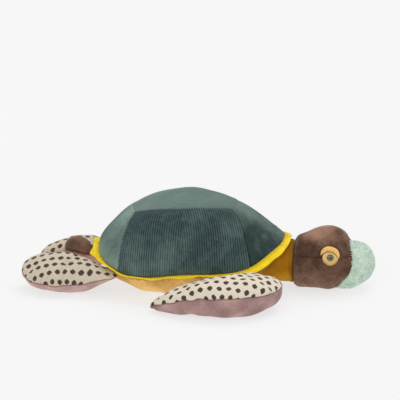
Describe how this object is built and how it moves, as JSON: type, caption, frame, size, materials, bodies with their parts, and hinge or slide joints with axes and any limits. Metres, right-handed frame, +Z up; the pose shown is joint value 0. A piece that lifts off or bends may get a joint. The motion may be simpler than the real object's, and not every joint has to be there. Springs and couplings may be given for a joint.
{
  "type": "plush sea turtle",
  "caption": "Stuffed sea turtle lying flat: ribbed corduroy shell with yellow taped rim, spotted flippers, brown head with a pale green snout.",
  "frame": {"origin": "under the middle of the belly, on the surface that the toy lies on", "axes": "+X to the nose, +Y to its left, +Z up"},
  "size_m": [0.5266, 0.4144, 0.146],
  "materials": {
    "corduroy": "dark green ribbed corduroy",
    "corduroy_top": "sage green ribbed corduroy",
    "tape": "smooth folded cotton tape",
    "mustard_velour": "short velour",
    "brown_pile": "short velvet pile",
    "mint_loops": "looped boucle pile",
    "spotted_cotton": "printed cotton with dark spots",
    "pink_velvet": "dusty pink velvet",
    "felt": "wool felt",
    "bead": "glossy black bead",
    "washer": "moulded washer",
    "filling": "fibre filling"
  },
  "bodies": {
    "body": {"shell_top_panel": "corduroy_top", "shell_right_front_panel": "corduroy", "shell_right_rear_panel": "corduroy", "shell_left_front_panel": "corduroy", "shell_left_rear_panel": "corduroy", "shell_front_panel": "corduroy", "shell_rear_panel": "corduroy", "rim_tape": "tape", "belly_cover": "mustard_velour", "body_stuffing": "filling"},
    "neck": {"neck_cover": "mustard_velour", "neck_stuffing": "filling"},
    "head": {"head_cover": "brown_pile", "snout_cap": "mint_loops", "head_stuffing": "filling", "eye_disc_right": "felt", "eyelid_right": "felt", "eye_bead_right": "bead", "eye_washer_right": "washer", "eye_disc_left": "felt", "eyelid_left": "felt", "eye_bead_left": "bead", "eye_washer_left": "washer"},
    "front_right_flipper": {"front_right_flipper_top_cover": "spotted_cotton", "front_right_flipper_under_cover": "pink_velvet", "front_right_flipper_stuffing": "filling"},
    "front_left_flipper": {"front_left_flipper_top_cover": "spotted_cotton", "front_left_flipper_under_cover": "pink_velvet", "front_left_flipper_stuffing": "filling"},
    "rear_right_flipper": {"rear_right_flipper_top_cover": "spotted_cotton", "rear_right_flipper_under_cover": "pink_velvet", "rear_right_flipper_stuffing": "filling"},
    "rear_left_flipper": {"rear_left_flipper_top_cover": "spotted_cotton", "rear_left_flipper_under_cover": "pink_velvet", "rear_left_flipper_stuffing": "filling"},
    "tail": {"tail_top_cover": "brown_pile", "tail_under_cover": "brown_pile", "tail_stuffing": "filling"}
  },
  "joints": [
    {"name": "neck_lift", "type": "hinge", "parent": "body", "child": "neck", "pos_m": [0.156, 0, 0.0795], "axis": [0, -1, 0], "range_deg": [0, 20], "stiffness_Nm_per_rad": 0.15},
    {"name": "head_turn", "type": "hinge", "parent": "neck", "child": "head", "pos_m": [0.119, 0, 0.0395], "axis": [0, 0, 1], "range_deg": [-20, 20], "stiffness_Nm_per_rad": 0.15},
    {"name": "front_right_flipper_lift", "type": "hinge", "parent": "body", "child": "front_right_flipper", "pos_m": [0.08, -0.12, 0.044], "axis": [-1, 0, 0], "range_deg": [0, 40], "stiffness_Nm_per_rad": 0.03},
    {"name": "front_left_flipper_lift", "type": "hinge", "parent": "body", "child": "front_left_flipper", "pos_m": [0.08, 0.12, 0.044], "axis": [1, 0, 0], "range_deg": [0, 40], "stiffness_Nm_per_rad": 0.03},
    {"name": "rear_right_flipper_lift", "type": "hinge", "parent": "body", "child": "rear_right_flipper", "pos_m": [-0.116, -0.087, 0.036], "axis": [-0.6137, 0.7896, 0], "range_deg": [0, 30], "stiffness_Nm_per_rad": 0.03},
    {"name": "rear_left_flipper_lift", "type": "hinge", "parent": "body", "child": "rear_left_flipper", "pos_m": [-0.116, 0.087, 0.036], "axis": [0.6137, 0.7896, 0], "range_deg": [0, 30], "stiffness_Nm_per_rad": 0.03},
    {"name": "tail_lift", "type": "hinge", "parent": "body", "child": "tail", "pos_m": [-0.148, 0, 0.058], "axis": [0, 1, 0], "range_deg": [0, 25], "stiffness_Nm_per_rad": 0.02}
  ]
}
